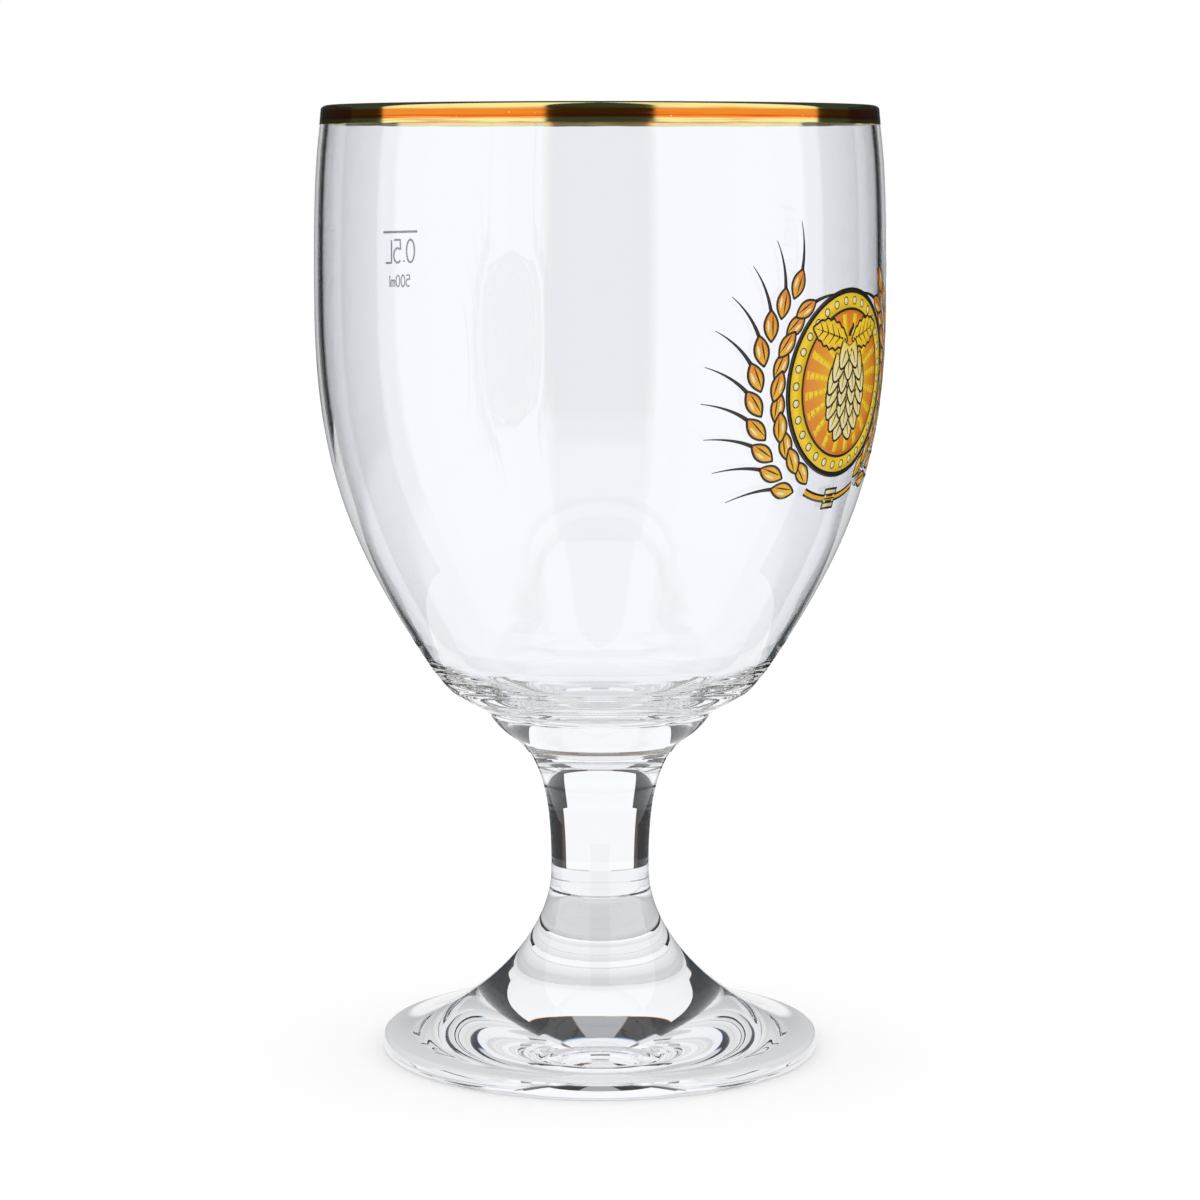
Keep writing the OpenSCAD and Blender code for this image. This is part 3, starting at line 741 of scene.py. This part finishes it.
class CHALICE_OT_stem(bpy.types.Operator):
    """Builds the solid stem between the bowl and the foot"""
    bl_idname = "chalice.stem"
    bl_label = "Stem"

    def execute(self, context):
        s = glass_sizes(context.scene)
        above = cut_at(np.vstack([stem_side(s), flare_side(s)[1:]]), s.foot_h)[0]
        parts = [spokes(0, above[-1, 0], s.foot_h), above[::-1][1:], spokes(s.joint_r, 0, s.joint_z)[1:]]
        glass = fire_polished_glass("drawn_soda_lime_glass", look_of(context), 12 * MM, 0.004 * MM)
        show_as(turned_piece("stem_glass", parts, (0, 2), [glass, fused_joint()]), "clear_glass", "stem")
        return {"FINISHED"}


class CHALICE_OT_foot(bpy.types.Operator):
    """Builds the pressed foot with its flare and hollow underside"""
    bl_idname = "chalice.foot"
    bl_label = "Foot"

    def execute(self, context):
        s = glass_sizes(context.scene)
        below = cut_at(flare_side(s), s.foot_h)[1]
        angle = np.linspace(-math.pi / 2, math.pi / 2, 17)
        nose = np.column_stack([s.edge[0] + s.edge_nose * np.cos(angle), s.edge_t / 2 * (1 + np.sin(angle))])
        r = np.linspace(0, s.rest_r, STEPS + 1)
        hollow = np.column_stack([r, s.hollow_h * (1 - (r / s.rest_r) ** 2)])
        parts = [np.vstack([hollow, nose, below[::-1][1:]]), spokes(below[0, 0], 0, s.foot_h)[1:]]
        glass = fire_polished_glass("pressed_soda_lime_glass", look_of(context), 7 * MM, 0.008 * MM)
        show_as(turned_piece("foot_glass", parts, (1,), [glass, fused_joint()]), "clear_glass", "foot")
        return {"FINISHED"}


class CHALICE_OT_gold(bpy.types.Operator):
    """Builds the gold line over the lip"""
    bl_idname = "chalice.gold"
    bl_label = "Gold lip line"

    def execute(self, context):
        s = glass_sizes(context.scene)
        angle = np.linspace(0, 2 * math.pi, 2 * AROUND, endpoint=False)
        wander = 0.035 * MM * (np.sin(5 * angle) + np.sin(17 * angle + 1) + 0.8 * np.sin(41 * angle + 2))
        low = s.glass_h - s.gold_h + wander + 0.1 * MM
        inside_low = s.glass_h - s.gold_inside_h - wander
        rows = []
        for gap in (s.film_t * 0.9, s.film_t * 0.1):
            outer = upper_side(s, 0, 0, 0)[::-1]
            inner = upper_side(s, s.lip_wall, s.belly_wall, s.heel_wall)[::-1]
            share = np.linspace(0, 1, 13)[:-1, None]
            z = low + (s.lip_z - low) * share
            rise = [(np.interp(z, outer[:, 1], outer[:, 0]) + gap, z)]
            arc = lip_arc(s, gap, 20)
            rise.append((arc[:, :1] + 0 * angle, arc[:, 1:] + 0 * angle))
            z = s.lip_z + (inside_low - s.lip_z) * (1 - share[::-1])
            rise.append((np.interp(z, inner[:, 1], inner[:, 0]) - gap, z))
            r, z = (np.vstack([part[k] for part in rise]) for k in (0, 1))
            rows.append((r, z) if not rows else (r[::-1], z[::-1]))
        r, z = (np.vstack([rows[0][k], rows[1][k]]) for k in (0, 1))
        points = np.stack([r * np.cos(angle), r * np.sin(angle), z], -1).reshape(-1, 3)
        faces = grid_faces(len(r), len(angle), wrap_rows=True, wrap_columns=True)
        piece = make_piece("gold_lip_line", points, faces, [fired_gold_lustre(look_of(context), s)], sharp=60)
        show_as(piece, "gold_lustre", "gold_rim")
        return {"FINISHED"}


class CHALICE_OT_emblem(bpy.types.Operator):
    """Prints the hop and barley medallion in four inks"""
    bl_idname = "chalice.emblem"
    bl_label = "Emblem"

    def execute(self, context):
        s, look = glass_sizes(context.scene), look_of(context)
        ink = SimpleNamespace(amber=Sheet(), yellow=Sheet(), cream=Sheet(), dark=Sheet(),
                              base_lift=0.02 * MM, line_lift=0.022 * MM)
        draw_medallion(s, ink)
        draw_hop(s, ink)
        draw_ears(s, ink)
        darker = lambda c, f: tuple(x * f for x in c)
        finishes = {
            "amber": fired_enamel("amber_glass_enamel", look.amber_light, look.amber_deep, 0.42 * MM),
            "yellow": fired_enamel("yellow_glass_enamel", look.yellow, look.amber_light, 0.42 * MM),
            "cream": fired_enamel("cream_glass_enamel", look.cream, look.yellow, 0.42 * MM),
            "dark": fired_enamel("dark_glass_enamel", look.ink, darker(look.ink, 0.6)),
        }
        for name, node in (("amber", "emblem_amber"), ("yellow", "emblem_yellow"), ("cream", "emblem_cream"),
                           ("dark", "emblem_outline")):
            piece = getattr(ink, name).lay(name + "_ink", s, s.emblem_azimuth, s.joint_z + s.emblem_z, finishes[name])
            show_as(piece, name + "_enamel", node)
        return {"FINISHED"}


class CHALICE_OT_mark(bpy.types.Operator):
    """Prints the fill line and the capacity"""
    bl_idname = "chalice.mark"
    bl_label = "Capacity mark"

    def execute(self, context):
        s, look = glass_sizes(context.scene), look_of(context)
        ink = SimpleNamespace(grey=Sheet(), base_lift=0.03 * MM)
        draw_mark(s, ink)
        finish = fired_enamel("grey_glass_enamel", look.mark, tuple(x * 0.85 for x in look.mark))
        piece = ink.grey.lay("capacity_mark", s, s.mark_azimuth, s.joint_z + s.mark_z, finish)
        show_as(piece, "grey_enamel", "fill_line")
        return {"FINISHED"}


def below(tree, value, limit, soft):
    """1 below a limit and 0 above it, with a soft edge."""
    return ramp(tree, value, limit - soft, limit + soft, 1.0, 0.0)


def inside(tree, value, low, high, soft):
    """1 between two limits and 0 outside them, with soft edges."""
    return math_node(tree, "SUBTRACT", below(tree, value, high, soft), below(tree, value, low, soft))


def brightest(tree, *values):
    """The largest of several values."""
    result = values[0]
    for value in values[1:]:
        result = math_node(tree, "MAXIMUM", result, value)
    return result


def refracted_studio(tree, side, up, across):
    """What the glass lets through, by the direction in which the light comes: side is the angle from straight
    behind the glass, up the sine of the height, across how far it comes from the left or right. A white sweep
    behind and below, a dark card low on each side of it, a grey window in the dark over it, a long box
    overhead, and bright boxes from the sides round to the camera."""
    deg, sine = math.radians, lambda a: math.sin(math.radians(a))
    times = lambda a, b: math_node(tree, "MULTIPLY", a, b)
    hard, soft = 0.006, 0.03
    sweep = times(below(tree, side, deg(33.5), hard), below(tree, up, sine(26), hard))
    table = below(tree, up, sine(-17), soft)
    over = times(math_node(tree, "SUBTRACT", 1.0, below(tree, side, deg(33.5), 0.05)),
                 math_node(tree, "SUBTRACT", 1.0, below(tree, up, sine(22), 0.04)))
    around = math_node(tree, "SUBTRACT", 1.0, below(tree, side, deg(80), soft))
    lens = times(inside(tree, side, deg(158), deg(190), soft), inside(tree, up, sine(-20), sine(35), 0.1))
    around = times(around, math_node(tree, "SUBTRACT", 1.0, times(lens, 0.8)))
    cards = times(inside(tree, side, deg(9), deg(36), soft), inside(tree, up, sine(-22), sine(-13.5), 0.01))
    lit = brightest(tree, sweep, table, times(over, 0.75), around, 0.03)
    low = below(tree, up, sine(47), 0.02)
    roof = times(math_node(tree, "SUBTRACT", 1.0, low), below(tree, across, 0.42, 0.02))
    window = times(times(below(tree, side, deg(8.5), 0.01), low), 0.4)
    lit = brightest(tree, times(lit, low), times(roof, 0.9), window, 0.03)
    return times(lit, math_node(tree, "SUBTRACT", 1.0, times(cards, 0.93)))


def mirrored_studio(tree, side, up):
    """What the glass and the gold mirror: a narrow white sweep behind, a tall soft box on each side of the
    camera, and dark between them."""
    deg = math.radians
    sweep = math_node(tree, "MULTIPLY", below(tree, side, deg(10), 0.02), below(tree, up, 0.12, 0.03))
    boxes = inside(tree, side, deg(81), deg(158), 0.02)
    return blend_colour(tree, brightest(tree, sweep, boxes), (0.035, 0.048, 0.055), (1.0, 1.0, 1.0))


def studio_world():
    """Plain white light for matt surfaces. What glass and metal mirror or let through is the studio with its
    cards and boxes, with the colours of the refracted one set a little apart, as glass bends blue light more
    than red. The camera sees white all round."""
    world = bpy.data.worlds.new("white_studio")
    bpy.context.scene.world = world
    world.use_nodes = True
    tree = world.node_tree
    tree.nodes.clear()
    way = add(tree, "ShaderNodeTexCoord").outputs["Generated"]
    x, y, z = add(tree, "ShaderNodeSeparateXYZ", {0: way}).outputs
    side = math_node(tree, "ABSOLUTE", math_node(tree, "ARCTAN2", x, y))
    across = math_node(tree, "ABSOLUTE", x)
    channels = [refracted_studio(tree, *(math_node(tree, "MULTIPLY", value, spread) for value in (side, z, across)))
                for spread in (0.995, 1.0, 1.005)]
    through = add(tree, "ShaderNodeCombineXYZ", dict(enumerate(channels))).outputs[0]
    mirrored = mirrored_studio(tree, side, z)
    rays = add(tree, "ShaderNodeLightPath").outputs
    white = add(tree, "ShaderNodeCombineXYZ", {0: 1.0, 1: 1.0, 2: 1.0}).outputs[0]
    seen = add(tree, "ShaderNodeMix", {0: rays["Is Glossy Ray"], 4: white, 5: mirrored}, data_type="VECTOR").outputs[1]
    seen = add(tree, "ShaderNodeMix", {0: rays["Is Transmission Ray"], 4: seen, 5: through},
               data_type="VECTOR").outputs[1]
    seen = add(tree, "ShaderNodeMix", {0: rays["Is Camera Ray"], 4: seen, 5: white}, data_type="VECTOR").outputs[1]
    sky = add(tree, "ShaderNodeBackground", {"Color": seen, "Strength": 1.0})
    output = add(tree, "ShaderNodeOutputWorld")
    tree.links.new(sky.outputs[0], output.inputs[0])


def pale_floor(look):
    """A plain matt white board. The camera sees it lifted to white but for the soft shadow. Through glass it is
    seen as a glow with a painted shadow: grey under the foot and pale round it, and further out it gives way to the
    white sweep."""
    material, tree, output = new_material("white_board")
    rays = add(tree, "ShaderNodeLightPath").outputs
    matt = add(tree, "ShaderNodeBsdfDiffuse", {"Color": (*look.floor, 1)})
    lift = add(tree, "ShaderNodeEmission", {"Color": (1, 1, 1, 1),
                                            "Strength": math_node(tree, "MULTIPLY", rays["Is Camera Ray"], 0.2)})
    board = add(tree, "ShaderNodeAddShader", {0: matt.outputs[0], 1: lift.outputs[0]}).outputs[0]
    place = add(tree, "ShaderNodeTexCoord").outputs["Object"]
    reach = add(tree, "ShaderNodeVectorMath", {0: place}, operation="LENGTH").outputs["Value"]
    # Painted shadow under the foot: what glass and gold see of the floor is emission, 0.68 near the axis rising to
    # 0.94 further out.
    tone = ramp(tree, reach, 26 * MM, 46 * MM, 0.68, 0.94)
    near = add(tree, "ShaderNodeEmission", {"Color": (1, 1, 1, 1), "Strength": tone}).outputs[0]
    far = add(tree, "ShaderNodeBsdfTransparent", {"Color": (1, 1, 1, 1)}).outputs[0]
    beyond = math_node(tree, "GREATER_THAN", reach, 140 * MM)
    seen = add(tree, "ShaderNodeMixShader", {0: beyond, 1: near, 2: far}).outputs[0]
    glassy = brightest(tree, rays["Is Glossy Ray"], rays["Is Transmission Ray"])
    both = add(tree, "ShaderNodeMixShader", {0: glassy, 1: board, 2: seen})
    tree.links.new(both.outputs[0], output.inputs["Surface"])
    return material


def black_card():
    """Black studio card: it only shows in what the glass and the gold mirror or let through."""
    material, tree, output = new_material("black_studio_card")
    dull = add(tree, "ShaderNodeEmission", {"Color": (0.02, 0.022, 0.026, 1), "Strength": 1.0})
    tree.links.new(dull.outputs[0], output.inputs["Surface"])
    return material


class CHALICE_OT_stage(bpy.types.Operator):
    """Sets the floor, the light and the camera of the studio"""
    bl_idname = "chalice.stage"
    bl_label = "Studio"

    def execute(self, context):
        points, faces = lathe(np.array([[0.0, 0.0], [0.3, 0.0], [8.0, 0.0]])[::-1], 96)
        floor = make_piece("floor", points, faces, [pale_floor(look_of(context))])
        # Black cards beside the glass, which draw the dark line along the bowl's edges. They stand so far back that
        # a view from above meets the floor before them.
        near, far, low, high, back = (v * MM for v in (194, 700, 45, 330, 380))
        flat = np.array([[near, back, low], [far, back, low], [far, back, high], [near, back, high]])
        card = black_card()
        for name, flip in (("card_right", 1), ("card_left", -1)):
            flag = make_piece(name, flat * [flip, 1, 1], np.array([[0, 1, 2, 3]]), [card])
            flag.visible_camera = flag.visible_diffuse = flag.visible_shadow = False
        studio_world()
        camera = bpy.data.objects.new("camera", bpy.data.cameras.new("camera"))
        camera.location = (0.0, -0.6259, 0.1623)
        camera.rotation_euler = (math.radians(90 - 7.22), 0.0, 0.0)
        camera.data.lens, camera.data.sensor_width = 103.5, 36.0
        context.scene.collection.objects.link(camera)
        context.scene.camera = camera
        context.scene.view_settings.view_transform = "Standard"
        cycles = context.scene.cycles
        cycles.max_bounces = cycles.glossy_bounces = 40
        cycles.transmission_bounces = cycles.transparent_max_bounces = 40
        return {"FINISHED"}


class CHALICE_PT_panel(bpy.types.Panel):
    """Lists the pieces and their sizes"""
    bl_label = "Chalice beer glass"
    bl_idname = "CHALICE_PT_panel"
    bl_space_type = "VIEW_3D"
    bl_region_type = "UI"
    bl_category = "Chalice"

    def draw(self, context):
        for operator in OPERATORS:
            self.layout.operator(operator.bl_idname)
        for group in GROUPS:
            box = self.layout.box()
            for name in GROUPS[group].__annotations__:
                box.prop(getattr(context.scene, group), name)


GROUPS = {"chalice_bowl": BowlSizes, "chalice_stand": StandSizes, "chalice_print": PrintSizes,
          "chalice_look": GlassLook}
OPERATORS = (CHALICE_OT_bowl, CHALICE_OT_stem, CHALICE_OT_foot, CHALICE_OT_gold, CHALICE_OT_emblem, CHALICE_OT_mark,
             CHALICE_OT_stage)


def register():
    """Registers the classes and puts their settings on the scene."""
    for cls in (*GROUPS.values(), *OPERATORS, CHALICE_PT_panel):
        bpy.utils.register_class(cls)
    for name, cls in GROUPS.items():
        setattr(bpy.types.Scene, name, bpy.props.PointerProperty(type=cls))


def unregister():
    """Takes the settings off the scene and unregisters the classes."""
    for name in GROUPS:
        delattr(bpy.types.Scene, name)
    for cls in reversed((*GROUPS.values(), *OPERATORS, CHALICE_PT_panel)):
        bpy.utils.unregister_class(cls)


def main():
    """Builds every piece in order."""
    register()
    for operator in OPERATORS:
        group, name = operator.bl_idname.split(".")
        getattr(getattr(bpy.ops, group), name)()


if __name__ == "__main__":
    main()
